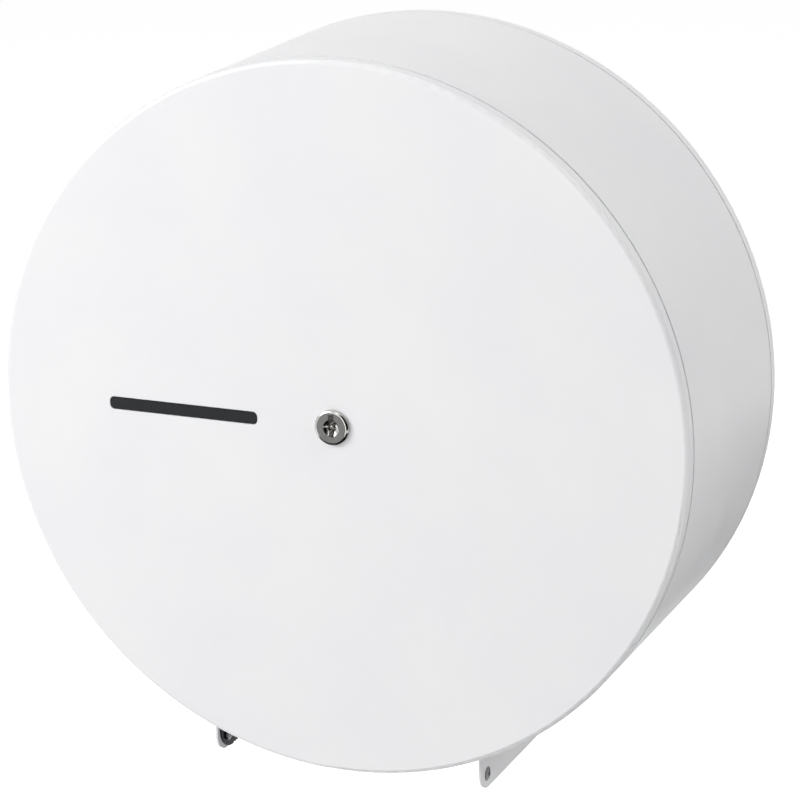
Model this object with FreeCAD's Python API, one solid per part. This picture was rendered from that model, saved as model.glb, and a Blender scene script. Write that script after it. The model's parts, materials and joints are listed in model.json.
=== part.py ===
import FreeCAD, Part
import math
import os

# A round wall-mounted dispenser for jumbo toilet rolls, in powder-coated sheet steel.
# The origin is the centre of the back plate on the wall. The front faces -Y and +Z is up.
# All lengths are in millimetres.

# Overall size
outer_radius = 152.0
depth = 123.0
sheet = 1.0

# Fits and gaps
overrun = 4.0
weld_gap = 0.1
seam_gap = 0.3
running_fit = 0.05
seat_gap = 0.15

# Back plate
back_edge_radius = 1.8
back_rim = 6.5
back_gap = 0.8
back_inner_rim = 10.0
wall_hole_radius = 3.25
wall_hole_spacing_x = 120.0
wall_hole_spacing_z = 120.0
outlet_edge_lift = 2.0

# Shell and its two tabs
tab_half_spacing = 61.2
tab_height = 16.4
tab_bend_radius = 1.6
tab_corner_radius = 9.0

# Tear blades
blade_sheet = 0.8
blade_height = 14.0
blade_setback = 2.0
blade_corner_radius = 11.0
tooth_pitch = 2.0
tooth_depth = 0.7

# Blind rivets
rivet_head_radius = 3.05
rivet_head_height = 0.8
rivet_shank_radius = 1.6
rivet_tail_radius = 2.4
rivet_tail_height = 1.5
rivet_dimple_radius = 0.9
rivet_dimple_depth = 0.6
rivet_head_round_share = 0.75
rivet_tail_round_share = 0.3
blade_rivet_inset = 7.7
blade_rivet_lift = 6.4

# Spindle
spindle_radius = 15.0
spindle_wall = 1.2
flange_radius = 31.0
flange_thickness = 2.0
spindle_front_setback = 18.0
keeper_thickness = 1.5
keeper_slot_length = 24.5
keeper_slot_width = 9.0

# Door panel
panel_edge_radius = 1.9
panel_lip = 2.0

# Door ring
ring_groove = 0.6
ring_recess = 0.2
ring_band = 5.4
ring_flange = 12.0
ring_lip = 3.5
ring_lip_gap = 0.35
ring_corner_radius = 0.5

# Level window
window_edge_inset = 49.8
window_from_lock = 34.0
window_height = 5.6
window_corner_radius = 2.2
lens_margin = 6.0
lens_thickness = 1.5
lens_setback = 0.3
lens_corner_radius = 3.0
retainer_sheet = 0.8
retainer_flange = 5.0
retainer_view_height = 9.0

# Hinge at the left edge
hinge_height = 36.0
hinge_inset = 0.8
knuckle_radius = 2.2
hinge_pin_radius = 1.0
hinge_sheet = 1.1
knuckle_gap = 0.3
hinge_swing_gap = 0.4
body_leaf_reach = 18.0
door_leaf_reach = 14.0
hinge_rivet_spacing = 20.0
hinge_rivet_setback = 11.0
pin_head_radius = 1.7
pin_head_height = 0.7

# Lock housing
lock_head_radius = 7.5
lock_head_height = 2.0
lock_bevel_width = 1.1
lock_bevel_height = 0.65
barrel_radius = 6.9
barrel_flat = 6.5
barrel_length = 15.5
lock_face_wall = 1.6
plug_radius = 6.0
keyhole_radius = 3.6
keyhole_inner_radius = 1.9
keyhole_dish_depth = 0.9
key_slot_width = 2.4
key_slot_top = 5.9
key_slot_bottom = 3.8
washer_radius = 10.2
washer_root_radius = 9.2
washer_thickness = 0.6
washer_teeth = 12
nut_across_flats = 17.0
nut_thickness = 3.0
nut_chamfer = 0.6

# Lock plug and bar
plug_length = 17.1
socket_radius = 2.1
socket_depth = 5.0
bit_depth = 3.0
bit_reach = 5.2
centre_pin_radius = 0.8
centre_pin_setback = 1.0
centre_pin_root = 3.0
retaining_groove_depth = 1.1
retaining_ring_thickness = 0.7
retaining_ring_radius = 6.8
retaining_ring_gap_angle = 40.0
neck_radius = 3.2
cam_setback = 20.2
cam_length = 22.0
cam_width = 6.5
cam_thickness = 2.0
cam_corner_share = 0.8
tail_square = 4.4
screw_head_radius = 2.8
screw_head_height = 1.8
screw_shank_radius = 1.4
screw_length = 8.0
screw_slot_width = 0.8
screw_slot_depth = 0.9
screw_slot_reach_share = 0.6

# Places worked out from the sizes
front = -depth
shell_inner_radius = outer_radius - sheet
shell_front = front + panel_lip + ring_groove + ring_band + seam_gap
shell_back = -back_rim - back_gap
seam = shell_front - seam_gap / 2
panel_back = front + sheet
bend_x = tab_half_spacing + tab_bend_radius
bend_drop = math.sqrt((outer_radius + tab_bend_radius) ** 2 - bend_x ** 2)
tab_drop = bend_drop + tab_height
outlet_drop = bend_drop - outlet_edge_lift
blade_face = tab_half_spacing - sheet - blade_sheet
spindle_back = -sheet - flange_thickness
spindle_front = front + spindle_front_setback
spindle_bore = spindle_radius - spindle_wall
hinge_x = -outer_radius + hinge_inset
barrel_end = front + barrel_length
bore_radius = plug_radius + running_fit
plug_front = front - lock_head_height + lock_face_wall + running_fit
plug_back = front + plug_length
cam_front = front + cam_setback
cam_back = cam_front + cam_thickness
window_left = outer_radius - window_edge_inset
lens_half_height = window_height / 2 + lens_margin

FRONT_TO_BACK = FreeCAD.Vector(0, 1, 0)
RIGHT = FreeCAD.Vector(1, 0, 0)
UP = FreeCAD.Vector(0, 0, 1)


def at_side(u, v):
    """A point of a profile that turns about the Y axis: u is the radius, v is the row's y."""
    return FreeCAD.Vector(u, v, 0)


def in_front(u, v):
    """A point of a front view: u is the row's x, v is the row's z."""
    return FreeCAD.Vector(u, 0, v)


def from_right(u, v):
    """A point of a side view: u is the row's y, v is the row's z."""
    return FreeCAD.Vector(0, u, v)


def outline(points, to_space):
    """A closed wire through (u, v) points. A point with a third number has its corner rounded to it."""
    starts = []
    edges = []
    count = len(points)
    for i in range(count):
        here = points[i]
        radius = here[2] if len(here) > 2 else 0
        before = FreeCAD.Vector(*points[i - 1][:2]) - FreeCAD.Vector(*here[:2])
        after = FreeCAD.Vector(*points[(i + 1) % count][:2]) - FreeCAD.Vector(*here[:2])
        before.normalize()
        after.normalize()
        corner = FreeCAD.Vector(*here[:2])
        if radius == 0:
            starts.append((corner, corner))
            continue
        half = before.getAngle(after) / 2
        reach = radius / math.tan(half)
        middle = before + after
        middle.normalize()
        centre = corner + middle * (radius / math.sin(half))
        first = corner + before * reach
        last = corner + after * reach
        edges.append(Part.Arc(to_space(first.x, first.y),
                              to_space(*(centre - middle * radius)[:2]),
                              to_space(last.x, last.y)).toShape())
        starts.append((first, last))
    for i in range(count):
        a = starts[i][1]
        b = starts[(i + 1) % count][0]
        edges.append(Part.LineSegment(to_space(a.x, a.y), to_space(b.x, b.y)).toShape())
    return Part.Wire(Part.__sortEdges__(edges))


def face_of(wire):
    return Part.Face(wire)


def turned(points):
    """A solid turned about the Y axis from a profile of (radius, y) points."""
    face = face_of(outline(points, at_side))
    return face.revolve(FreeCAD.Vector(0, 0, 0), FRONT_TO_BACK, 360)


def rod(radius, start, end, x=0, z=0):
    """A round bar along Y from start to end."""
    return Part.makeCylinder(radius, end - start, FreeCAD.Vector(x, start, z), FRONT_TO_BACK)


def block(x0, x1, y0, y1, z0, z1):
    return Part.makeBox(x1 - x0, y1 - y0, z1 - z0, FreeCAD.Vector(x0, y0, z0))


def slab(points, start, end):
    """A front-view outline given a thickness from start to end along Y."""
    face = face_of(outline(points, in_front))
    face.translate(FreeCAD.Vector(0, start, 0))
    return face.extrude(FreeCAD.Vector(0, end - start, 0))


def rounded_rectangle(x0, x1, z0, z1, radius):
    return [(x0, z0, radius), (x1, z0, radius), (x1, z1, radius), (x0, z1, radius)]


def back_plate():
    """Dished plate. Its rim shows behind the shell, then steps inside it."""
    inner = shell_inner_radius - weld_gap
    profile = [
        (0, 0),
        (outer_radius, 0, back_edge_radius),
        (outer_radius, -back_rim),
        (inner, -back_rim),
        (inner, -back_rim - back_inner_rim),
        (inner - sheet, -back_rim - back_inner_rim),
        (inner - sheet, -back_rim + sheet),
        (shell_inner_radius, -back_rim + sheet),
        (shell_inner_radius, -sheet, back_edge_radius - sheet),
        (0, -sheet),
    ]
    plate = turned(profile)
    below_outlet = block(-bend_x, bend_x, -back_rim - back_inner_rim - overrun, overrun,
                         -outer_radius - overrun, -outlet_drop)
    plate = plate.cut(below_outlet)
    for x in (-wall_hole_spacing_x / 2, wall_hole_spacing_x / 2):
        for z in (-wall_hole_spacing_z / 2, wall_hole_spacing_z / 2):
            plate = plate.cut(rod(wall_hole_radius, -sheet - overrun, overrun, x, z))
    return plate


def shell_profile():
    """Front view of the rolled sheet: a long arc that bends down into a tab at each end."""
    tilt = math.atan2(-bend_drop, bend_x)
    inner_x = tab_half_spacing - sheet

    def on_circle(radius, angle):
        return FreeCAD.Vector(radius * math.cos(angle), 0, radius * math.sin(angle))

    def on_bend(radius, angle, side):
        return FreeCAD.Vector(side * (bend_x + radius * math.cos(angle)), 0,
                              -bend_drop + radius * math.sin(angle))

    def bend_arc(radius, side):
        back_to_axis = tilt + math.pi
        half_way = (back_to_axis + math.pi) / 2
        return Part.Arc(on_bend(radius, math.pi, side), on_bend(radius, half_way, side),
                        on_bend(radius, back_to_axis, side)).toShape()

    def long_arc(radius):
        return Part.Arc(on_circle(radius, tilt), on_circle(radius, math.pi / 2),
                        on_circle(radius, math.pi - tilt)).toShape()

    def line(x0, z0, x1, z1):
        return Part.LineSegment(in_front(x0, z0), in_front(x1, z1)).toShape()

    edges = [long_arc(outer_radius), long_arc(shell_inner_radius)]
    for side in (-1, 1):
        edges.append(bend_arc(tab_bend_radius, side))
        edges.append(bend_arc(tab_bend_radius + sheet, side))
        edges.append(line(side * tab_half_spacing, -bend_drop, side * tab_half_spacing, -tab_drop))
        edges.append(line(side * inner_x, -bend_drop, side * inner_x, -tab_drop))
        edges.append(line(side * tab_half_spacing, -tab_drop, side * inner_x, -tab_drop))
    return Part.Wire(Part.__sortEdges__(edges))


def tab_outline(top, setback, corner_radius):
    """Side view of a tab, or of a blade set back from its ends, with rounded lower corners."""
    start = shell_front + setback
    end = shell_back - setback
    return [
        (start, top),
        (start, -tab_drop, corner_radius),
        (end, -tab_drop, corner_radius),
        (end, top),
    ]


def hinge_notch(reach_front, reach_back):
    """The window in the shell and the ring that the hinge knuckles stand in."""
    half = hinge_height / 2 + pin_head_height + seam_gap
    return block(-outer_radius - overrun, hinge_x + knuckle_radius + hinge_swing_gap + hinge_sheet,
                 seam - reach_front, seam + reach_back, -half, half)


def shell():
    face = face_of(shell_profile())
    face.translate(FreeCAD.Vector(0, shell_front, 0))
    body = face.extrude(FreeCAD.Vector(0, shell_back - shell_front, 0))
    wide = tab_half_spacing + overrun
    corner_top = -tab_drop + tab_corner_radius
    keep = face_of(outline(tab_outline(corner_top + overrun, 0, tab_corner_radius), from_right))
    keep.translate(FreeCAD.Vector(-wide, 0, 0))
    rounded = keep.extrude(FreeCAD.Vector(2 * wide, 0, 0))
    square = block(-wide, wide, shell_front - overrun, shell_back + overrun,
                   -tab_drop - overrun, corner_top)
    body = body.cut(square.cut(rounded))
    clear = knuckle_radius + hinge_swing_gap
    body = body.cut(hinge_notch(clear, clear))
    for side in (-1, 1):
        for y in blade_rivet_places():
            body = body.cut(tab_hole(side, y))
    for angle in hinge_rivet_angles():
        body = body.cut(hinge_hole(angle))
    return body


def blade_rivet_places():
    return (shell_front + blade_rivet_inset, shell_back - blade_rivet_inset)


def tab_hole(side, y):
    """The hole for one blade rivet through a tab and its blade."""
    start = FreeCAD.Vector(side * (tab_half_spacing + overrun), y, -tab_drop + blade_rivet_lift)
    through = 2 * overrun + sheet + blade_sheet
    return Part.makeCylinder(rivet_shank_radius + running_fit, through, start, RIGHT * -side)


def tear_blade(side):
    """Spring steel strip inside a tab, with fine teeth flush with the tab's lower edge."""
    top = -tab_drop + blade_height
    face = face_of(outline(tab_outline(top, blade_setback, blade_corner_radius), from_right))
    start = side * blade_face
    face.translate(FreeCAD.Vector(start, 0, 0))
    blade = face.extrude(FreeCAD.Vector(side * blade_sheet, 0, 0))
    first = shell_front + blade_setback + blade_corner_radius
    last = shell_back - blade_setback - blade_corner_radius
    count = int((last - first) / tooth_pitch)
    begin = (first + last) / 2 - count * tooth_pitch / 2
    notches = []
    for i in range(count):
        left = begin + i * tooth_pitch
        notch = [
            (left, -tab_drop - overrun),
            (left, -tab_drop),
            (left + tooth_pitch / 2, -tab_drop + tooth_depth),
            (left + tooth_pitch, -tab_drop),
            (left + tooth_pitch, -tab_drop - overrun),
        ]
        cutter = face_of(outline(notch, from_right))
        cutter.translate(FreeCAD.Vector(start - side * blade_sheet, 0, 0))
        notches.append(cutter.extrude(FreeCAD.Vector(side * 3 * blade_sheet, 0, 0)))
    blade = blade.cut(Part.makeCompound(notches))
    for y in blade_rivet_places():
        blade = blade.cut(tab_hole(side, y))
    return blade


def blind_rivet(grip):
    """A blind rivet turned about the Y axis. Its head stands on y = 0 towards -Y."""
    tail_round = rivet_tail_height * rivet_tail_round_share
    profile = [
        (0, -rivet_head_height + rivet_dimple_depth),
        (rivet_dimple_radius, -rivet_head_height + rivet_dimple_depth),
        (rivet_dimple_radius, -rivet_head_height),
        (rivet_head_radius, -rivet_head_height, rivet_head_height * rivet_head_round_share),
        (rivet_head_radius, 0),
        (rivet_shank_radius, 0),
        (rivet_shank_radius, grip),
        (rivet_tail_radius, grip, tail_round),
        (rivet_tail_radius, grip + rivet_tail_height, tail_round),
        (0, grip + rivet_tail_height),
    ]
    return turned(profile)


def blade_rivets(side):
    rivets = []
    for y in blade_rivet_places():
        rivet = blind_rivet(sheet + blade_sheet)
        rivet.rotate(FreeCAD.Vector(0, 0, 0), UP, 90 * side)
        rivet.translate(FreeCAD.Vector(side * tab_half_spacing, y, -tab_drop + blade_rivet_lift))
        rivets.append(rivet)
    return Part.makeCompound(rivets)


def spindle_flange():
    edge = flange_thickness / 4
    profile = [
        (0, -sheet),
        (flange_radius, -sheet),
        (flange_radius, spindle_back, edge),
        (0, spindle_back),
    ]
    return turned(profile)


def spindle_tube():
    edge = spindle_wall / 3
    profile = [
        (spindle_bore, spindle_back),
        (spindle_radius, spindle_back),
        (spindle_radius, spindle_front, edge),
        (spindle_bore, spindle_front),
    ]
    return turned(profile)


def spindle_keeper():
    """Slotted plate flush with the front end of the tube."""
    plate = rod(spindle_bore - weld_gap, spindle_front, spindle_front + keeper_thickness)
    half_w = keeper_slot_width / 2
    half_l = keeper_slot_length / 2
    slot = rounded_rectangle(-half_w, half_w, -half_l, half_l, half_w / 2)
    return plate.cut(slab(slot, spindle_front - overrun, spindle_front + keeper_thickness + overrun))


def door_panel():
    profile = [
        (0, front),
        (outer_radius, front, panel_edge_radius),
        (outer_radius, front + panel_lip),
        (shell_inner_radius, front + panel_lip),
        (shell_inner_radius, panel_back, panel_edge_radius - sheet),
        (0, panel_back),
    ]
    panel = turned(profile)
    panel = panel.cut(slab(window_slot(0), front - overrun, panel_back + overrun))
    return panel.cut(barrel_hole(seat_gap, front - overrun, panel_back + overrun))


def window_slot(inset):
    """Front view of the window slot, or of what fills it, smaller by the inset."""
    return rounded_rectangle(-window_left + inset, -window_from_lock - inset,
                             -window_height / 2 + inset, window_height / 2 - inset,
                             window_corner_radius - inset)


def barrel_hole(gap, start, end):
    """The lock barrel's section, round with two flats, larger by the gap."""
    barrel = rod(barrel_radius + gap, start, end)
    wide = barrel_radius + gap + overrun
    flats = block(-barrel_flat - gap, barrel_flat + gap, start - overrun, end + overrun, -wide, wide)
    return barrel.common(flats)


def door_ring():
    """Rolled rim behind the panel: a flange welded to it, the band that shows, a lip in the shell."""
    flange_front = panel_back
    flange_edge = outer_radius - panel_edge_radius
    band_outer = outer_radius - ring_recess
    band_inner = band_outer - sheet
    band_front = front + panel_lip + ring_groove
    band_back = band_front + ring_band
    lip_outer = shell_inner_radius - ring_lip_gap
    lip_inner = lip_outer - sheet
    lip_back = band_back + ring_lip
    profile = [
        (flange_edge - ring_flange, flange_front),
        (flange_edge, flange_front),
        (flange_edge, band_front),
        (band_outer, band_front, ring_corner_radius),
        (band_outer, band_back, ring_corner_radius),
        (lip_outer, band_back),
        (lip_outer, lip_back),
        (lip_inner, lip_back),
        (lip_inner, band_back - sheet),
        (band_inner, band_back - sheet),
        (band_inner, band_front + sheet),
        (flange_edge - sheet, band_front + sheet),
        (flange_edge - sheet, flange_front + sheet),
        (flange_edge - ring_flange, flange_front + sheet),
    ]
    clear = knuckle_radius + hinge_swing_gap
    return turned(profile).cut(hinge_notch(clear, ring_lip + overrun))


def window_lens():
    """Smoked strip behind the panel, with a rib that stands in the slot."""
    rib = slab(window_slot(seat_gap), front + lens_setback, panel_back + lens_thickness / 2)
    return rib.fuse(slab(lens_outline(0), panel_back, panel_back + lens_thickness)).removeSplitter()


def lens_outline(extra):
    """Front view of the lens, or of what goes round it, larger by the extra."""
    return rounded_rectangle(-window_left - lens_margin - extra, -window_from_lock + lens_margin + extra,
                             -lens_half_height - extra, lens_half_height + extra,
                             lens_corner_radius + extra)


def window_retainer():
    """Thin hat-shaped frame. Its flange lies on the panel and its crown holds the lens."""
    pocket_back = panel_back + lens_thickness
    flange = slab(lens_outline(seat_gap + retainer_sheet + retainer_flange),
                  panel_back, panel_back + retainer_sheet)
    crown = slab(lens_outline(seat_gap + retainer_sheet), panel_back, pocket_back + retainer_sheet)
    pocket = slab(lens_outline(seat_gap), panel_back - overrun, pocket_back)
    half = retainer_view_height / 2
    view = rounded_rectangle(-window_left, -window_from_lock, -half, half, lens_corner_radius)
    opening = slab(view, panel_back - overrun, pocket_back + overrun)
    return flange.fuse(crown).removeSplitter().cut(pocket).cut(opening)


def knuckle(bottom, top):
    return Part.makeCylinder(knuckle_radius, top - bottom, FreeCAD.Vector(hinge_x, seam, bottom), UP)


def knuckle_bands():
    """Lowest and highest z of the three knuckles, from the bottom up."""
    each = (hinge_height - 2 * knuckle_gap) / 3
    low = -hinge_height / 2
    return [(low + i * (each + knuckle_gap), low + i * (each + knuckle_gap) + each) for i in range(3)]


def hinge_slice(bottom, top):
    """The part of space at the left edge between two heights."""
    return block(-outer_radius - overrun, -outer_radius / 2, front - overrun, overrun, bottom, top)


def swing_room(bottom, top):
    """Clear space round a knuckle of the other leaf."""
    radius = knuckle_radius + hinge_swing_gap
    return Part.makeCylinder(radius, top - bottom, FreeCAD.Vector(hinge_x, seam, bottom), UP)


def pin_hole():
    start = FreeCAD.Vector(hinge_x, seam, -hinge_height / 2 - overrun)
    return Part.makeCylinder(hinge_pin_radius + running_fit, hinge_height + 2 * overrun, start, UP)


def hinge_leaf_body():
    """Leaf inside the shell, curved to it, with the lowest and the highest knuckle."""
    outer = shell_inner_radius - weld_gap
    leaf = turned([
        (outer - hinge_sheet, seam),
        (outer, seam),
        (outer, seam + body_leaf_reach),
        (outer - hinge_sheet, seam + body_leaf_reach),
    ])
    leaf = leaf.common(hinge_slice(-hinge_height / 2, hinge_height / 2))
    low, middle, high = knuckle_bands()
    leaf = leaf.cut(swing_room(middle[0] - knuckle_gap, middle[1] + knuckle_gap))
    leaf = leaf.fuse([knuckle(*low), knuckle(*high)]).removeSplitter().cut(pin_hole())
    for angle in hinge_rivet_angles():
        leaf = leaf.cut(hinge_hole(angle))
    return leaf


def hinge_leaf_door():
    """Leaf inside the door ring, stepped along it and the flange, with the middle knuckle."""
    flange_edge = outer_radius - panel_edge_radius - sheet
    band_inner = outer_radius - ring_recess - sheet
    flange_back = panel_back + sheet
    step = front + panel_lip + ring_groove + sheet
    profile = [
        (flange_edge - door_leaf_reach, flange_back),
        (flange_edge - weld_gap, flange_back),
        (flange_edge - weld_gap, step + weld_gap),
        (band_inner - weld_gap, step + weld_gap),
        (band_inner - weld_gap, seam),
        (band_inner - weld_gap - hinge_sheet, seam),
        (band_inner - weld_gap - hinge_sheet, step + weld_gap + hinge_sheet),
        (flange_edge - weld_gap - hinge_sheet, step + weld_gap + hinge_sheet),
        (flange_edge - weld_gap - hinge_sheet, flange_back + hinge_sheet),
        (flange_edge - door_leaf_reach, flange_back + hinge_sheet),
    ]
    leaf = turned(profile).common(hinge_slice(-hinge_height / 2, hinge_height / 2))
    low, middle, high = knuckle_bands()
    leaf = leaf.cut(swing_room(low[0] - overrun, low[1] + knuckle_gap))
    leaf = leaf.cut(swing_room(high[0] - knuckle_gap, high[1] + overrun))
    return leaf.fuse(knuckle(*middle)).removeSplitter().cut(pin_hole())


def hinge_pin():
    """Pin through the knuckles, with a rounded head at each end."""
    half = hinge_height / 2
    start = FreeCAD.Vector(hinge_x, seam, -half)
    pin = Part.makeCylinder(hinge_pin_radius, hinge_height, start, UP)
    for side in (-1, 1):
        base = FreeCAD.Vector(hinge_x, seam, side * half)
        head = Part.makeCone(pin_head_radius, hinge_pin_radius, pin_head_height, base, UP * side)
        pin = pin.fuse(head)
    return pin.removeSplitter()


def hinge_rivet_angles():
    """Turns about the Y axis, in degrees, that put the two rivets above and below the middle."""
    lift = math.degrees(math.asin(hinge_rivet_spacing / 2 / outer_radius))
    return (-lift, lift)


def hinge_hole(angle):
    """A hole through the shell and the leaf, square to them."""
    reach = hinge_sheet + sheet + weld_gap + 2 * overrun
    start = FreeCAD.Vector(-outer_radius - overrun, seam + hinge_rivet_setback, 0)
    hole = Part.makeCylinder(rivet_shank_radius + running_fit, reach, start, RIGHT)
    hole.rotate(FreeCAD.Vector(0, 0, 0), FRONT_TO_BACK, angle)
    return hole


def hinge_rivets():
    rivets = []
    for angle in hinge_rivet_angles():
        rivet = blind_rivet(sheet + weld_gap + hinge_sheet + running_fit)
        rivet.rotate(FreeCAD.Vector(0, 0, 0), UP, -90)
        rivet.translate(FreeCAD.Vector(-outer_radius, seam + hinge_rivet_setback, 0))
        rivet.rotate(FreeCAD.Vector(0, 0, 0), FRONT_TO_BACK, angle)
        rivets.append(rivet)
    return Part.makeCompound(rivets)


def key_slot(start, end, top):
    """The upright slot of the keyhole, which reaches higher than it reaches down."""
    half = key_slot_width / 2
    return slab(rounded_rectangle(-half, half, -key_slot_bottom, top, half / 4), start, end)


def lock_body():
    """Housing with a bevelled head, a dished keyhole and a barrel with two flats."""
    head_front = front - lock_head_height
    head = turned([
        (0, head_front),
        (lock_head_radius - lock_bevel_width, head_front),
        (lock_head_radius, head_front + lock_bevel_height),
        (lock_head_radius, front),
        (0, front),
    ])
    body = head.fuse(barrel_hole(0, front, barrel_end))
    face_back = head_front + lock_face_wall
    body = body.cut(rod(bore_radius, face_back, barrel_end + overrun))
    dish = Part.makeCone(keyhole_radius, keyhole_inner_radius, keyhole_dish_depth,
                         FreeCAD.Vector(0, head_front, 0), FRONT_TO_BACK)
    body = body.cut(dish).cut(rod(keyhole_inner_radius, head_front, face_back + overrun))
    return body.cut(key_slot(head_front - overrun, face_back, key_slot_top)).removeSplitter()


def lock_washer():
    """Toothed washer between the panel and the nut."""
    points = []
    for i in range(2 * washer_teeth):
        radius = washer_radius if i % 2 else washer_root_radius
        angle = math.pi * i / washer_teeth
        points.append((radius * math.cos(angle), radius * math.sin(angle)))
    disc = slab(points, panel_back, panel_back + washer_thickness)
    return disc.cut(rod(barrel_radius + seat_gap, panel_back - overrun, panel_back + overrun))


def lock_nut():
    """Hexagon nut with chamfered corners."""
    start = panel_back + washer_thickness
    end = start + nut_thickness
    corner = nut_across_flats / math.sqrt(3)
    points = []
    for i in range(6):
        angle = math.pi * (2 * i + 1) / 6
        points.append((corner * math.cos(angle), corner * math.sin(angle)))
    nut = slab(points, start, end)
    turned_blank = turned([
        (0, start),
        (corner, start),
        (corner, end - nut_chamfer),
        (corner - 2 * nut_chamfer, end),
        (0, end),
    ])
    nut = nut.common(turned_blank)
    return nut.cut(rod(barrel_radius + running_fit, start - overrun, end + overrun))


def retaining_groove():
    """Front and back of the groove for the retaining ring, behind the barrel."""
    return (barrel_end + weld_gap, barrel_end + weld_gap + retaining_ring_thickness)


def lock_plug():
    """Turning cylinder: key socket in front, ring groove behind the barrel, then neck and square tail."""
    plug = rod(plug_radius, plug_front, plug_back)
    groove_front, groove_back = retaining_groove()
    groove = turned([
        (plug_radius - retaining_groove_depth, groove_front - running_fit),
        (plug_radius + overrun, groove_front - running_fit),
        (plug_radius + overrun, groove_back + running_fit),
        (plug_radius - retaining_groove_depth, groove_back + running_fit),
    ])
    plug = plug.cut(groove)
    plug = plug.fuse(rod(neck_radius, plug_back, cam_front))
    half = tail_square / 2
    plug = plug.fuse(block(-half, half, cam_front, cam_back, -half, half))
    plug = plug.cut(rod(socket_radius, plug_front - overrun, plug_front + socket_depth))
    plug = plug.cut(key_slot(plug_front - overrun, plug_front + bit_depth, bit_reach))
    pin_bottom = plug_front + socket_depth + centre_pin_root
    plug = plug.cut(rod(centre_pin_radius + running_fit, plug_front, pin_bottom))
    return plug.cut(rod(screw_shank_radius + running_fit, cam_back - screw_length, cam_back + overrun))


def lock_pin():
    """The pin in the middle of the key socket."""
    tip = front - lock_head_height + centre_pin_setback
    base = plug_front + socket_depth + centre_pin_root
    return turned([
        (0, tip),
        (centre_pin_radius, tip, centre_pin_radius / 3),
        (centre_pin_radius, base),
        (0, base),
    ])


def lock_retaining_ring():
    """Open spring ring in the plug's groove."""
    start, end = retaining_groove()
    inner = plug_radius - retaining_groove_depth + running_fit
    ring = rod(retaining_ring_radius, start, end).cut(rod(inner, start - overrun, end + overrun))
    half = math.radians(retaining_ring_gap_angle / 2)
    reach = retaining_ring_radius + overrun
    wedge = slab([(0, 0), (reach * math.sin(half), -reach), (-reach * math.sin(half), -reach)],
                 start - overrun, end + overrun)
    return ring.cut(wedge)


def lock_cam():
    """Bar that turns behind the keeper, upright at rest so that it passes the keeper's slot."""
    half_w = cam_width / 2
    half_l = cam_length / 2
    corner = half_w * cam_corner_share
    bar = slab(rounded_rectangle(-half_w, half_w, -half_l, half_l, corner), cam_front, cam_back)
    hole = tail_square / 2 + running_fit
    return bar.cut(block(-hole, hole, cam_front - overrun, cam_back + overrun, -hole, hole))


def cam_screw():
    """Pan-head screw with a cross recess, which holds the bar on the plug's tail."""
    head_back = cam_back + screw_head_height
    screw = turned([
        (0, cam_back - screw_length),
        (screw_shank_radius, cam_back - screw_length),
        (screw_shank_radius, cam_back),
        (screw_head_radius, cam_back),
        (screw_head_radius, head_back, screw_head_height / 2),
        (0, head_back),
    ])
    half = screw_slot_width / 2
    reach = screw_head_radius * screw_slot_reach_share
    for along_x, along_z in ((reach, half), (half, reach)):
        screw = screw.cut(block(-along_x, along_x, head_back - screw_slot_depth, head_back + overrun,
                                -along_z, along_z))
    return screw


PIECES = {
    "back_plate": back_plate,
    "shell": shell,
    "spindle_flange": spindle_flange,
    "spindle_tube": spindle_tube,
    "spindle_keeper": spindle_keeper,
    "tear_blade_left": lambda: tear_blade(-1),
    "tear_blade_right": lambda: tear_blade(1),
    "blade_rivets_left": lambda: blade_rivets(-1),
    "blade_rivets_right": lambda: blade_rivets(1),
    "hinge_leaf_body": hinge_leaf_body,
    "hinge_rivets": hinge_rivets,
    "hinge_pin": hinge_pin,
    "door_panel": door_panel,
    "door_ring": door_ring,
    "window_lens": window_lens,
    "window_retainer": window_retainer,
    "hinge_leaf_door": hinge_leaf_door,
    "lock_body": lock_body,
    "lock_washer": lock_washer,
    "lock_nut": lock_nut,
    "lock_plug": lock_plug,
    "lock_pin": lock_pin,
    "lock_retaining_ring": lock_retaining_ring,
    "lock_cam": lock_cam,
    "cam_screw": cam_screw,
}

os.makedirs("parts", exist_ok=True)
for name, make in PIECES.items():
    piece = make()
    solids = len(piece.Solids)
    print(f"{name}: {solids} solids, volume {piece.Volume:.1f}, valid {piece.isValid()}")
    piece.exportStep(os.path.join("parts", name + ".step"))
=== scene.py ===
import json
import math

import bmesh
import bpy
from mathutils import Matrix, Vector


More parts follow.
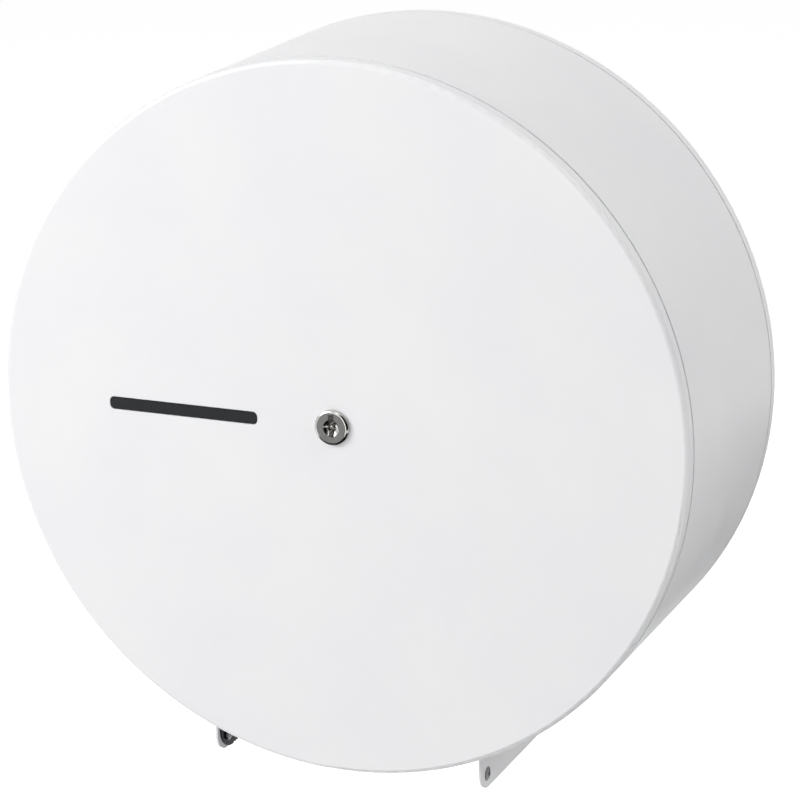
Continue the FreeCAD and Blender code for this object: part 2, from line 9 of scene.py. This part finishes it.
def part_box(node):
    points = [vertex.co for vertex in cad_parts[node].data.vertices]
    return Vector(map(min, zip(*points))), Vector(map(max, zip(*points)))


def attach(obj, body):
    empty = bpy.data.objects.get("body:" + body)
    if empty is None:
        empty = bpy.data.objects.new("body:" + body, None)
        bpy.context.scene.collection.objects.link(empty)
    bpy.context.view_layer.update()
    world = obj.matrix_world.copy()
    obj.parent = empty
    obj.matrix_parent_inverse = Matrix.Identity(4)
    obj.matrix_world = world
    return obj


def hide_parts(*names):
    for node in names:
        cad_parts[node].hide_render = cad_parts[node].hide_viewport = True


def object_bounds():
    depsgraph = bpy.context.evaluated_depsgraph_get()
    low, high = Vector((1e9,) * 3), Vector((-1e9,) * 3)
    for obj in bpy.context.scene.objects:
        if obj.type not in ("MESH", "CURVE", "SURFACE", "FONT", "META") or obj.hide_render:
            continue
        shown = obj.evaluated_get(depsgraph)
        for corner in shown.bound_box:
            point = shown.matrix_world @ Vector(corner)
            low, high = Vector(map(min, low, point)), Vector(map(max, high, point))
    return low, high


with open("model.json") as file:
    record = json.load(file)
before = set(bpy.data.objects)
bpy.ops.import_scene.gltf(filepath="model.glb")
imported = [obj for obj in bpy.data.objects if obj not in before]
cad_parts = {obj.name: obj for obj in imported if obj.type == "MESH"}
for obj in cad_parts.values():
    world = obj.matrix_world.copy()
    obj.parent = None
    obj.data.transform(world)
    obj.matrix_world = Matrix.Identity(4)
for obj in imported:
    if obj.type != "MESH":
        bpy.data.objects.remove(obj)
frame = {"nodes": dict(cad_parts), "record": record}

# A round wall-mounted dispenser for jumbo toilet rolls, in white powder-coated sheet steel.
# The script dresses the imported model. Lengths are in metres, and MM turns millimetres into them.
# Named angles are in degrees, apart from the start of the weld bead's swells, in radians.

CAD_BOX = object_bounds()
MM = 0.001

NODES = frame["nodes"]
DOOR_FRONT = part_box("door_panel")[0].y

# The camera as the photograph was taken, with its lens and sensor in millimetres
CAMERA_PLACE = Vector((0.5202, -1.3050, 0.3959))
CAMERA_TURN = 22.53
CAMERA_TILT = 16.59
CAMERA_ROLL = -0.60
CAMERA_LENS = 148.48
SENSOR_WIDTH = 36.0


def srgb(code):
    """The linear colour of an sRGB hex code."""
    channels = [int(code[i:i + 2], 16) / 255 for i in (1, 3, 5)]
    linear = [c / 12.92 if c <= 0.04045 else ((c + 0.055) / 1.055) ** 2.4 for c in channels]
    return (*linear, 1.0)


def across(size_mm):
    """The texture scale that makes one repeat of a pattern this many millimetres wide."""
    return 1 / (size_mm * MM)


def add(tree, kind, inputs=None, **settings):
    """Adds one node. Each input gets a value, or a link where it is given another node's output."""
    made = tree.nodes.new(kind)
    for name, value in settings.items():
        setattr(made, name, value)
    for name, value in (inputs or {}).items():
        socket = made.inputs[name]
        if isinstance(value, bpy.types.NodeSocket):
            tree.links.new(value, socket)
        else:
            socket.default_value = value
    return made


def new_material(name):
    """An empty node material, its tree and its output node."""
    material = bpy.data.materials.new(name)
    material.use_nodes = True
    tree = material.node_tree
    tree.nodes.clear()
    return material, tree, add(tree, "ShaderNodeOutputMaterial")


def noise(tree, size_mm, detail=2.0, roughness=0.5, stretch=(1, 1, 1)):
    """Noise whose features are about size_mm wide, drawn out along an axis where stretch is small."""
    place = add(tree, "ShaderNodeTexCoord").outputs["Object"]
    mapped = add(tree, "ShaderNodeMapping", {"Vector": place, "Scale": stretch})
    return add(tree, "ShaderNodeTexNoise", {
        "Vector": mapped.outputs["Vector"], "Scale": across(size_mm), "Detail": detail,
        "Roughness": roughness}).outputs["Fac"]


# Noise seldom leaves this span, so the span is taken as the whole of a pattern
NOISE_LOW = 0.3
NOISE_HIGH = 0.7


def spread(tree, pattern, low, high):
    """Turns a pattern into values from low to high."""
    return add(tree, "ShaderNodeMapRange", {
        "Value": pattern, "From Min": NOISE_LOW, "From Max": NOISE_HIGH,
        "To Min": low, "To Max": high}).outputs["Result"]


def tint(tree, pattern, dark, light):
    """A colour that wanders between two sRGB codes."""
    return add(tree, "ShaderNodeMix", {
        "Factor": spread(tree, pattern, 0, 1), "A": srgb(dark), "B": srgb(light)},
        data_type="RGBA").outputs["Result"]


def bump(tree, pattern, depth_mm, under=None):
    """Normals of a surface that a pattern raises by depth_mm, over the normals under it."""
    inputs = {"Height": pattern, "Distance": depth_mm * MM, "Strength": 1.0}
    if under is not None:
        inputs["Normal"] = under
    return add(tree, "ShaderNodeBump", inputs).outputs["Normal"]


def soft_edges(tree, radius_mm):
    """Normals that round every edge a little, as a baked coat does."""
    return add(tree, "ShaderNodeBevel", {"Radius": radius_mm * MM}, samples=6).outputs["Normal"]


def finish_shader(tree, output, **inputs):
    """The one shader of a finish, with its inputs."""
    shader = add(tree, "ShaderNodeBsdfPrincipled", inputs)
    tree.links.new(shader.outputs["BSDF"], output.inputs["Surface"])


COAT_EDGE_MM = 0.3


def powder_coat():
    """Polyester powder sprayed on sheet steel and baked: an even satin white with fine orange peel.

    The real grain is too fine to show, so it is drawn about half a millimetre wide.
    """
    material, tree, output = new_material("white_powder_coat")
    peel = bump(tree, noise(tree, 1.6), 0.010, under=soft_edges(tree, COAT_EDGE_MM))
    grain = bump(tree, noise(tree, 0.45, detail=1.0), 0.002, under=peel)
    colour = tint(tree, noise(tree, 45), "#EEEEF0", "#F1F1F2")
    rough = spread(tree, noise(tree, 18), 0.34, 0.40)
    finish_shader(tree, output, **{"Base Color": colour, "Roughness": rough, "IOR": 1.5,
                                   "Normal": grain})
    return material


def painted_reflection_blade_steel():
    """Spring steel strip with fine rolling streaks along it, coloured a dark grey that is painted
    reflection of dark surroundings.

    The real streaks are too fine to show, so they are drawn a quarter of a millimetre wide.
    """
    material, tree, output = new_material("painted_reflection_blade_steel")
    streak = noise(tree, 0.25, detail=3.0, roughness=0.6, stretch=(1, 0.02, 1))
    # Painted reflection: this dark grey stands in for the dark surroundings that the bare steel would
    # mirror.
    colour = tint(tree, streak, "#3A3B3E", "#4C4D50")
    rough = spread(tree, streak, 0.24, 0.38)
    finish_shader(tree, output, **{"Base Color": colour, "Roughness": rough, "Metallic": 1.0,
                                   "Normal": bump(tree, streak, 0.004)})
    return material


def rivet_steel():
    """Pressed rivet steel: a dull grey skin with small dents from the rivet tool."""
    material, tree, output = new_material("pressed_rivet_steel")
    dents = noise(tree, 0.8, detail=3.0)
    colour = tint(tree, dents, "#646465", "#787879")
    rough = spread(tree, dents, 0.32, 0.46)
    finish_shader(tree, output, **{"Base Color": colour, "Roughness": rough, "Metallic": 1.0,
                                   "Normal": bump(tree, dents, 0.006)})
    return material


def zinc_plate():
    """Bright zinc plate: silver with faint cloudy patches and a low shine."""
    material, tree, output = new_material("bright_zinc_plate")
    cloud = noise(tree, 3.0, detail=3.0)
    colour = tint(tree, cloud, "#B5B7B8", "#CBCAC2")
    rough = spread(tree, noise(tree, 0.6), 0.28, 0.40)
    finish_shader(tree, output, **{"Base Color": colour, "Roughness": rough, "Metallic": 1.0,
                                   "Normal": bump(tree, cloud, 0.004)})
    return material


def nickel_plate():
    """Nickel plate on a brushed zinc casting: a clear grey mirror, softened by upright brush lines.

    The real lines are too fine to show, so they are drawn 0.3 mm wide.
    """
    material, tree, output = new_material("nickel_plated_casting")
    streak = noise(tree, 0.3, detail=3.0, roughness=0.6, stretch=(1, 1, 0.04))
    colour = tint(tree, streak, "#B9B8B5", "#CBCAC7")
    rough = spread(tree, streak, 0.12, 0.20)
    finish_shader(tree, output, **{"Base Color": colour, "Roughness": rough, "Metallic": 1.0,
                                   "Normal": bump(tree, streak, 0.002)})
    return material


def smoked_acrylic():
    """Smoked acrylic sheet, cut and polished: near black, with a soft gloss."""
    material, tree, output = new_material("smoked_acrylic")
    haze = noise(tree, 6.0)
    colour = tint(tree, haze, "#212326", "#25272A")
    rough = spread(tree, noise(tree, 1.5), 0.23, 0.27)
    finish_shader(tree, output, **{"Base Color": colour, "Roughness": rough, "IOR": 1.49})
    return material


FINISHES = {
    "white_powder_coat": powder_coat(),
    "blade_steel": painted_reflection_blade_steel(),
    "rivet_steel": rivet_steel(),
    "zinc_plate": zinc_plate(),
    "lock_nickel": nickel_plate(),
    "smoked_plastic": smoked_acrylic(),
}


def dress_nodes():
    """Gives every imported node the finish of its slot."""
    for subpart in frame["record"]["subparts"]:
        mesh = NODES[subpart["node"]].data
        mesh.materials.clear()
        mesh.materials.append(FINISHES[subpart["material_slot"]])


def link_piece(name, mesh, body, slot):
    """A new piece of the object, in the finish of its slot, riding on its body."""
    mesh.materials.clear()
    mesh.materials.append(FINISHES[slot])
    piece = bpy.data.objects.new(name, mesh)
    bpy.context.scene.collection.objects.link(piece)
    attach(piece, body)
    return piece


MERGE_DISTANCE = 0.001 * MM


def turned_mesh(name, profile, segments, shape=None):
    """A solid turned about the Y axis from the closed outline of its half section.

    The outline is a list of (radius, y) points. Shape, where it is given, moves each turned point.
    """
    mesh = bmesh.new()
    rings = []
    for i in range(segments):
        angle = math.tau * i / segments
        ring = []
        for radius, y in profile:
            place = Vector((radius * math.cos(angle), y, radius * math.sin(angle)))
            ring.append(mesh.verts.new(shape(place, angle) if shape else place))
        rings.append(ring)
    count = len(profile)
    for i in range(segments):
        here, there = rings[i], rings[(i + 1) % segments]
        for j in range(count):
            k = (j + 1) % count
            mesh.faces.new((here[j], here[k], there[k], there[j]))
    bmesh.ops.remove_doubles(mesh, verts=mesh.verts, dist=MERGE_DISTANCE)
    bmesh.ops.recalc_face_normals(mesh, faces=mesh.faces)
    made = bpy.data.meshes.new(name)
    mesh.to_mesh(made)
    mesh.free()
    return made


def smooth_by_angle(mesh, degrees):
    """Smooth faces, with sharp edges where they turn by more than the angle."""
    mesh.polygons.foreach_set("use_smooth", [True] * len(mesh.polygons))
    mesh.set_sharp_from_angle(angle=math.radians(degrees))
    return mesh


def arc(centre_u, centre_v, radius, start, end, steps):
    """Points of an arc in a flat outline, with its angles in degrees from the first axis."""
    points = []
    for i in range(steps + 1):
        angle = math.radians(start + (end - start) * i / steps)
        points.append((centre_u + radius * math.cos(angle), centre_v + radius * math.sin(angle)))
    return points


# The lock's head. The dish round the keyhole is part of a ball.
DISH_RADIUS = 3.55 * MM
DISH_BALL = 6.0 * MM
DISH_HOLE = 1.9 * MM
DISH_STEPS = 14
HEAD_EDGE = 1.1 * MM
HEAD_EDGE_DEPTH = 0.65 * MM
HEAD_EDGE_BEVEL = 0.35
HEAD_EDGE_POWER = 3
HEAD_EDGE_STEPS = 8
HEAD_FOOT_HEIGHT = 0.25 * MM
HEAD_FOOT_INSET = 0.12 * MM
FACE_WALL = 1.6 * MM

# A narrow ring of faces beside an edge, which keeps the soft shading out of the flat face
EDGE_RING = 0.1 * MM

# The lock's barrel
BARREL_RADIUS = 6.9 * MM
BARREL_FLAT = 6.5 * MM
BARREL_BORE = 6.05 * MM
BARREL_CHAMFER = 0.1 * MM
THREAD_PITCH = 1.0 * MM
THREAD_DEPTH = 0.45 * MM
THREAD_STEPS = 8
THREAD_GAP = 0.1 * MM
THREAD_RUNOUT = 0.6 * MM
SKIN_DEPTH = 0.01 * MM
LOCK_SEGMENTS = 96
LOCK_SHARP = 24

# The upright slot of the keyhole, and how far its cutter reaches past the wall of the face
KEY_SLOT_WIDTH = 2.4 * MM
KEY_SLOT_TOP = 5.9 * MM
KEY_SLOT_BOTTOM = 3.8 * MM
KEY_SLOT_CORNER = 0.4 * MM
KEY_SLOT_CORNER_STEPS = 4
CUTTER_AHEAD = 1.0 * MM
CUTTER_BEYOND = 0.3 * MM


def head_edge(face, head_radius):
    """The edge of the lock's head, a bevel that turns into a round from its face to its side."""
    inner = head_radius - HEAD_EDGE
    points = []
    for i in range(HEAD_EDGE_STEPS + 1):
        share = i / HEAD_EDGE_STEPS
        sink = HEAD_EDGE_BEVEL * share + (1 - HEAD_EDGE_BEVEL) * share ** HEAD_EDGE_POWER
        points.append((inner + share * HEAD_EDGE, face + sink * HEAD_EDGE_DEPTH))
    return points


def lock_housing():
    """Die-cast housing: a dished keyhole in a bevelled head, and a threaded barrel with two flats."""
    low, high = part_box("lock_body")
    face, barrel_end, head_radius = low.y, high.y, (high.x - low.x) / 2
    start = math.degrees(math.acos(DISH_RADIUS / DISH_BALL))
    stop = math.degrees(math.acos(DISH_HOLE / DISH_BALL))
    centre = face - DISH_BALL * math.sin(math.radians(start))
    profile = arc(0, centre, DISH_BALL, stop, start, DISH_STEPS)
    profile += [(DISH_RADIUS + EDGE_RING, face), (head_radius - HEAD_EDGE - EDGE_RING, face)]
    profile += head_edge(face, head_radius)
    profile += [(head_radius, DOOR_FRONT - HEAD_FOOT_HEIGHT),
                (head_radius - HEAD_FOOT_INSET, DOOR_FRONT)]
    thread_start = DOOR_FRONT + THREAD_GAP
    steps = int((barrel_end - THREAD_RUNOUT - thread_start) / THREAD_PITCH * THREAD_STEPS)
    profile += [(BARREL_RADIUS, thread_start + i * THREAD_PITCH / THREAD_STEPS)
                for i in range(steps + 1)]
    root_radius = BARREL_RADIUS - THREAD_DEPTH
    profile += [(root_radius, barrel_end - BARREL_CHAMFER), (root_radius - BARREL_CHAMFER, barrel_end),
                (BARREL_BORE, barrel_end), (BARREL_BORE, face + FACE_WALL),
                (DISH_HOLE, face + FACE_WALL)]

    def cut_thread(place, angle):
        """Draws the barrel's skin in to a helical thread, and flattens its two sides."""
        radius = math.hypot(place.x, place.z)
        if place.y >= thread_start and radius > BARREL_RADIUS - SKIN_DEPTH:
            turn = (place.y / THREAD_PITCH - angle / math.tau) % 1
            radius = BARREL_RADIUS - THREAD_DEPTH * (1 - abs(2 * turn - 1))
            place = Vector((radius * math.cos(angle), place.y, radius * math.sin(angle)))
        if place.y >= thread_start:
            place.x = max(-BARREL_FLAT, min(BARREL_FLAT, place.x))
        return place

    mesh = turned_mesh("lock_housing", profile, LOCK_SEGMENTS, cut_thread)
    piece = link_piece("lock_housing", mesh, "door", "lock_nickel")
    cut_key_slot(piece, face)
    smooth_by_angle(piece.data, LOCK_SHARP)
    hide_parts("lock_body")


def key_slot_cutter(face):
    """A bar with rounded corners, which reaches through the head's face."""
    side = KEY_SLOT_WIDTH / 2 - KEY_SLOT_CORNER
    top = KEY_SLOT_TOP - KEY_SLOT_CORNER
    bottom = KEY_SLOT_CORNER - KEY_SLOT_BOTTOM
    outline = []
    for x, z, first in ((side, top, 0), (-side, top, 90), (-side, bottom, 180), (side, bottom, 270)):
        outline += arc(x, z, KEY_SLOT_CORNER, first, first + 90, KEY_SLOT_CORNER_STEPS)
    cutter = bmesh.new()
    near = [cutter.verts.new((x, face - CUTTER_AHEAD, z)) for x, z in outline]
    far = [cutter.verts.new((x, face + FACE_WALL + CUTTER_BEYOND, z)) for x, z in outline]
    cutter.faces.new(near)
    cutter.faces.new(reversed(far))
    for i in range(len(outline)):
        k = (i + 1) % len(outline)
        cutter.faces.new((near[i], far[i], far[k], near[k]))
    bmesh.ops.recalc_face_normals(cutter, faces=cutter.faces)
    mesh = bpy.data.meshes.new("key_slot_cutter")
    cutter.to_mesh(mesh)
    cutter.free()
    tool = bpy.data.objects.new("key_slot_cutter", mesh)
    bpy.context.scene.collection.objects.link(tool)
    return tool


def cut_key_slot(piece, face):
    """Cuts the upright slot of the keyhole through the head's face."""
    tool = key_slot_cutter(face)
    cut = piece.modifiers.new("key_slot", "BOOLEAN")
    cut.operation = "DIFFERENCE"
    cut.solver = "EXACT"
    cut.object = tool
    graph = bpy.context.evaluated_depsgraph_get()
    made = bpy.data.meshes.new_from_object(piece.evaluated_get(graph))
    piece.modifiers.clear()
    piece.data = made
    bpy.data.objects.remove(tool)


# The set rivets of the tear blades, through the blade and the sheet of the tab
SHEET = 1.0 * MM
RIVET_SHANK = 1.6 * MM
RIVET_RIM = 0.14 * MM
DOME_POWER = 2.2
DOME_STEPS = 10
DIMPLE_RADIUS = 0.9 * MM
DIMPLE_FOOT = 0.80 * MM
DIMPLE_WALL = 0.86 * MM
DIMPLE_DEPTH = 0.66 * MM
DIMPLE_LIP = 0.08 * MM
MANDREL_RADIUS = 0.60 * MM
MANDREL_DEPTH = 0.42 * MM
MANDREL_EDGE = 0.10 * MM
MANDREL_CROWN = 0.02 * MM
MANDREL_SHOULDER = 0.08 * MM
TAIL_RADIUS = 2.4 * MM
TAIL_ROUND = 0.7 * MM
TAIL_ROUND_END = 60
TAIL_STEPS = 8
TAIL_TIP = 0.75 * MM
RIVET_SEGMENTS = 48
RIVET_SHARP = 40


def rivet_profile(head_radius, head_height, grip, tail_height):
    """Half section of a set blind rivet: domed head, broken mandrel in its dimple, bulged tail."""
    top = -head_height
    break_face = top + MANDREL_DEPTH
    mandrel = [(0, break_face), (MANDREL_RADIUS - MANDREL_EDGE, break_face + MANDREL_CROWN),
               (MANDREL_RADIUS - MANDREL_CROWN, break_face + MANDREL_SHOULDER),
               (MANDREL_RADIUS, top + DIMPLE_DEPTH), (DIMPLE_FOOT, top + DIMPLE_DEPTH),
               (DIMPLE_WALL, top + DIMPLE_LIP)]
    dome = []
    for i in range(DOME_STEPS + 1):
        share = i / DOME_STEPS
        radius = DIMPLE_RADIUS + (head_radius - DIMPLE_RADIUS) * share
        dome.append((radius, top + (head_height - RIVET_RIM) * share ** DOME_POWER))
    shank = [(head_radius, 0), (RIVET_SHANK, 0), (RIVET_SHANK, grip)]
    tail = arc(TAIL_RADIUS - TAIL_ROUND, grip + TAIL_ROUND, TAIL_ROUND, -90, TAIL_ROUND_END, TAIL_STEPS)
    tail += [(TAIL_TIP, grip + tail_height), (0, grip + tail_height)]
    return mandrel + dome + shank + tail


def from_the_middle(low, high, side):
    """How far a box on one side of the object begins and ends from its middle plane."""
    return (low.x, high.x) if side > 0 else (-high.x, -low.x)


def blade_rivets(side, title):
    """The two rivets of one tab, with their heads outside."""
    node = "blade_rivets_" + title
    low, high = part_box(node)
    blade_low, blade_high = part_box("tear_blade_" + title)
    tail_end, head_top = from_the_middle(low, high, side)
    blade_face, blade_back = from_the_middle(blade_low, blade_high, side)
    seat = blade_back + SHEET
    head_radius = (high.z - low.z) / 2
    profile = rivet_profile(head_radius, head_top - seat, seat - blade_face, blade_face - tail_end)
    whole = bmesh.new()
    for y in (low.y + head_radius, high.y - head_radius):
        one = turned_mesh(node, profile, RIVET_SEGMENTS)
        one.transform(Matrix.Translation((side * seat, y, (low.z + high.z) / 2))
                      @ Matrix.Rotation(math.radians(90 * side), 4, "Z"))
        whole.from_mesh(one)
        bpy.data.meshes.remove(one)
    mesh = bpy.data.meshes.new("set_rivets_" + title)
    whole.to_mesh(mesh)
    whole.free()
    smooth_by_angle(mesh, RIVET_SHARP)
    piece = link_piece("set_rivets_" + title, mesh, "root", "rivet_steel")
    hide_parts(node)


# The weld bead round the spindle's foot
BEAD_WIDTH = 2.6 * MM
BEAD_HEIGHT = 2.2 * MM
BEAD_OVERLAP = 0.1 * MM
BEAD_POWER = 1.4
BEAD_STEPS = 8
BEAD_RIPPLES = 44
BEAD_SEGMENTS = 8 * BEAD_RIPPLES
BEAD_SHARP = 50
RIPPLE_HEIGHT = 0.22 * MM
SWELLS = 3
SWELL_SHARE = 0.25
SWELL_START = 1.0


def spindle_weld():
    """The weld bead round the spindle's foot, rippled as a hand-laid bead is, under the coat."""
    low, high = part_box("spindle_tube")
    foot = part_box("spindle_flange")[0].y
    radius = (high.x - low.x) / 2
    profile = [(radius - BEAD_OVERLAP, foot + BEAD_OVERLAP), (radius + BEAD_WIDTH, foot + BEAD_OVERLAP)]
    for i in range(BEAD_STEPS + 1):
        angle = math.radians(90 * i / BEAD_STEPS)
        profile.append((radius + BEAD_WIDTH * math.cos(angle) ** BEAD_POWER,
                        foot - BEAD_HEIGHT * math.sin(angle) ** BEAD_POWER))
    profile.append((radius - BEAD_OVERLAP, foot - BEAD_HEIGHT))

    def ripple(place, angle):
        """Raises the bead in ripples and slow swells, which fade out towards both of its toes."""
        swell = SWELL_SHARE * math.sin(SWELLS * angle + SWELL_START)
        wave = abs(math.sin(angle * BEAD_RIPPLES / 2)) + swell
        out = max(0, math.hypot(place.x, place.z) - radius) / BEAD_WIDTH
        up = max(0, foot - place.y) / BEAD_HEIGHT
        grow = RIPPLE_HEIGHT * wave * min(1, 2 * out * up)
        return place + Vector((math.cos(angle), -1, math.sin(angle))) * grow

    mesh = turned_mesh("spindle_weld_bead", profile, BEAD_SEGMENTS, ripple)
    smooth_by_angle(mesh, BEAD_SHARP)
    link_piece("spindle_weld_bead", mesh, "root", "white_powder_coat")


def white_for_the_eye(tree):
    """1 where a ray comes straight from the camera, off gloss or through glass."""
    path = add(tree, "ShaderNodeLightPath")
    seen = add(tree, "ShaderNodeMath", {0: path.outputs["Is Camera Ray"],
                                        1: path.outputs["Is Glossy Ray"]}, operation="MAXIMUM")
    return add(tree, "ShaderNodeMath", {0: seen.outputs[0],
                                        1: path.outputs["Is Transmission Ray"]},
               operation="MAXIMUM").outputs[0]


# The studio
ROOM_LIGHT = 0.15
FLOOR_LEVEL = CAD_BOX[0][2] - 0.45
FLOOR_HALF = 9.0
FLOOR_GLOW = 0.84
CARD_ABOVE_FLOOR = 0.02
LAMP_AIM = Vector((0, -0.06, 0))


def surroundings():
    """White all round for the eye, and a plain soft light for the object."""
    world = bpy.data.worlds.new("studio")
    bpy.context.scene.world = world
    world.use_nodes = True
    tree = world.node_tree
    tree.nodes.clear()
    output = add(tree, "ShaderNodeOutputWorld")
    soft = add(tree, "ShaderNodeBackground", {"Color": srgb("#FFFFFF"), "Strength": ROOM_LIGHT})
    white = add(tree, "ShaderNodeBackground", {"Color": srgb("#FFFFFF"), "Strength": 1.0})
    mixed = add(tree, "ShaderNodeMixShader", {0: white_for_the_eye(tree), 1: soft.outputs[0],
                                              2: white.outputs[0]})
    tree.links.new(mixed.outputs[0], output.inputs["Surface"])


def stage_sheet(name, corners, material):
    """A flat sheet of the studio, which isn't part of the object."""
    mesh = bpy.data.meshes.new(name)
    mesh.from_pydata(corners, [], [(0, 1, 2, 3)])
    mesh.materials.append(material)
    sheet = bpy.data.objects.new(name, mesh)
    bpy.context.scene.collection.objects.link(sheet)
    return sheet


def lying(left, right, near, far, height):
    """Corners of a level sheet."""
    return [(left, near, height), (right, near, height), (right, far, height), (left, far, height)]


def facing(centre, half):
    """Corners of a square sheet at a place, turned to face the object."""
    middle = Vector(centre)
    level = middle.cross(Vector((0, 0, 1))).normalized() * half
    upward = level.cross(middle).normalized() * half
    return [middle - level - upward, middle + level - upward, middle + level + upward,
            middle - level + upward]


def floor():
    """A pale floor below the object, white to the eye where it is lit, which keeps a soft shadow.

    The light that it throws back at the object is that of a slightly darker grey.
    """
    material, tree, output = new_material("pale_floor")
    grey = add(tree, "ShaderNodeBsdfDiffuse", {"Color": srgb("#DADADA")})
    matt = add(tree, "ShaderNodeBsdfDiffuse", {"Color": srgb("#F2F2F2")})
    glow = add(tree, "ShaderNodeEmission", {"Color": srgb("#FFFFFF"), "Strength": FLOOR_GLOW})
    lifted = add(tree, "ShaderNodeAddShader", {0: matt.outputs[0], 1: glow.outputs[0]})
    mixed = add(tree, "ShaderNodeMixShader", {0: white_for_the_eye(tree), 1: grey.outputs[0],
                                              2: lifted.outputs[0]})
    tree.links.new(mixed.outputs[0], output.inputs["Surface"])
    corners = lying(-FLOOR_HALF, FLOOR_HALF, -FLOOR_HALF, FLOOR_HALF, FLOOR_LEVEL)
    stage_sheet("floor", corners, material)


def card(name, corners, code):
    """A studio card that shows only in gloss, as the dark or grey in the reflections."""
    material, tree, output = new_material(name)
    glow = add(tree, "ShaderNodeEmission", {"Color": srgb(code), "Strength": 1.0})
    tree.links.new(glow.outputs[0], output.inputs["Surface"])
    sheet = stage_sheet(name, corners, material)
    sheet.visible_camera = False
    sheet.visible_diffuse = False
    sheet.visible_transmission = False
    sheet.visible_shadow = False


def cards():
    """Grey ahead and dark to the front right and below for the lock, grey behind for the shell."""
    card("card_ahead", facing((-0.36, -1.0, -0.22), half=0.30), "#9C9C9E")
    card("card_front_right", facing((0.80, -0.85, 0.30), half=0.80), "#121214")
    card("card_behind", facing((0.19, 0.55, -0.33), half=0.15), "#4E4E50")
    card("card_below", lying(-0.8, 0.9, -1.2, 0.1, FLOOR_LEVEL + CARD_ABOVE_FLOOR), "#121214")


def soft_lamp(name, place, size, watts, in_gloss=True):
    """A round soft lamp aimed at the object, which gloss can be kept from showing."""
    data = bpy.data.lights.new(name, "AREA")
    data.shape = "DISK"
    data.size = size
    data.energy = watts
    lamp = bpy.data.objects.new(name, data)
    lamp.location = place
    lamp.rotation_euler = (LAMP_AIM - Vector(place)).to_track_quat("-Z", "Y").to_euler()
    lamp.visible_glossy = in_gloss
    bpy.context.scene.collection.objects.link(lamp)


def lamps():
    """Soft light from all round, at which the coat's colour renders about as it is written."""
    soft_lamp("key_left", (-1.0, -1.0, 0.62), size=0.95, watts=13.6)
    soft_lamp("front_top", (0.25, -1.35, 1.15), size=1.0, watts=3.4)
    soft_lamp("overhead", (-0.25, -0.15, 1.6), size=1.2, watts=3.2, in_gloss=False)
    soft_lamp("right_top", (1.35, -0.18, 1.00), size=1.0, watts=12.4)
    soft_lamp("front_low", (-0.35, -1.5, -0.2), size=0.9, watts=4.8)
    soft_lamp("low_right", (0.3, -0.3, -0.50), size=0.24, watts=0.22, in_gloss=False)
    soft_lamp("behind", (-0.4, 1.9, 0.6), size=1.2, watts=14.0, in_gloss=False)


def camera():
    """The photograph's own camera, from the front right and a little above."""
    turn, tilt, roll = (math.radians(a) for a in (CAMERA_TURN, CAMERA_TILT, CAMERA_ROLL))
    ahead = Vector((-math.sin(turn) * math.cos(tilt), math.cos(turn) * math.cos(tilt),
                    -math.sin(tilt)))
    level = Vector((math.cos(turn), math.sin(turn), 0))
    above = level.cross(ahead)
    right = math.cos(roll) * level + math.sin(roll) * above
    up = math.cos(roll) * above - math.sin(roll) * level
    data = bpy.data.cameras.new("camera")
    data.lens = CAMERA_LENS
    data.sensor_width = SENSOR_WIDTH
    view = bpy.data.objects.new("camera", data)
    turned = Matrix((right, up, -ahead)).transposed()
    view.matrix_world = Matrix.Translation(CAMERA_PLACE) @ turned.to_4x4()
    bpy.context.scene.collection.objects.link(view)
    bpy.context.scene.camera = view


bpy.context.scene.view_settings.view_transform = "Standard"
camera()
dress_nodes()
lock_housing()
blade_rivets(-1, "left")
blade_rivets(1, "right")
spindle_weld()
surroundings()
floor()
cards()
lamps()
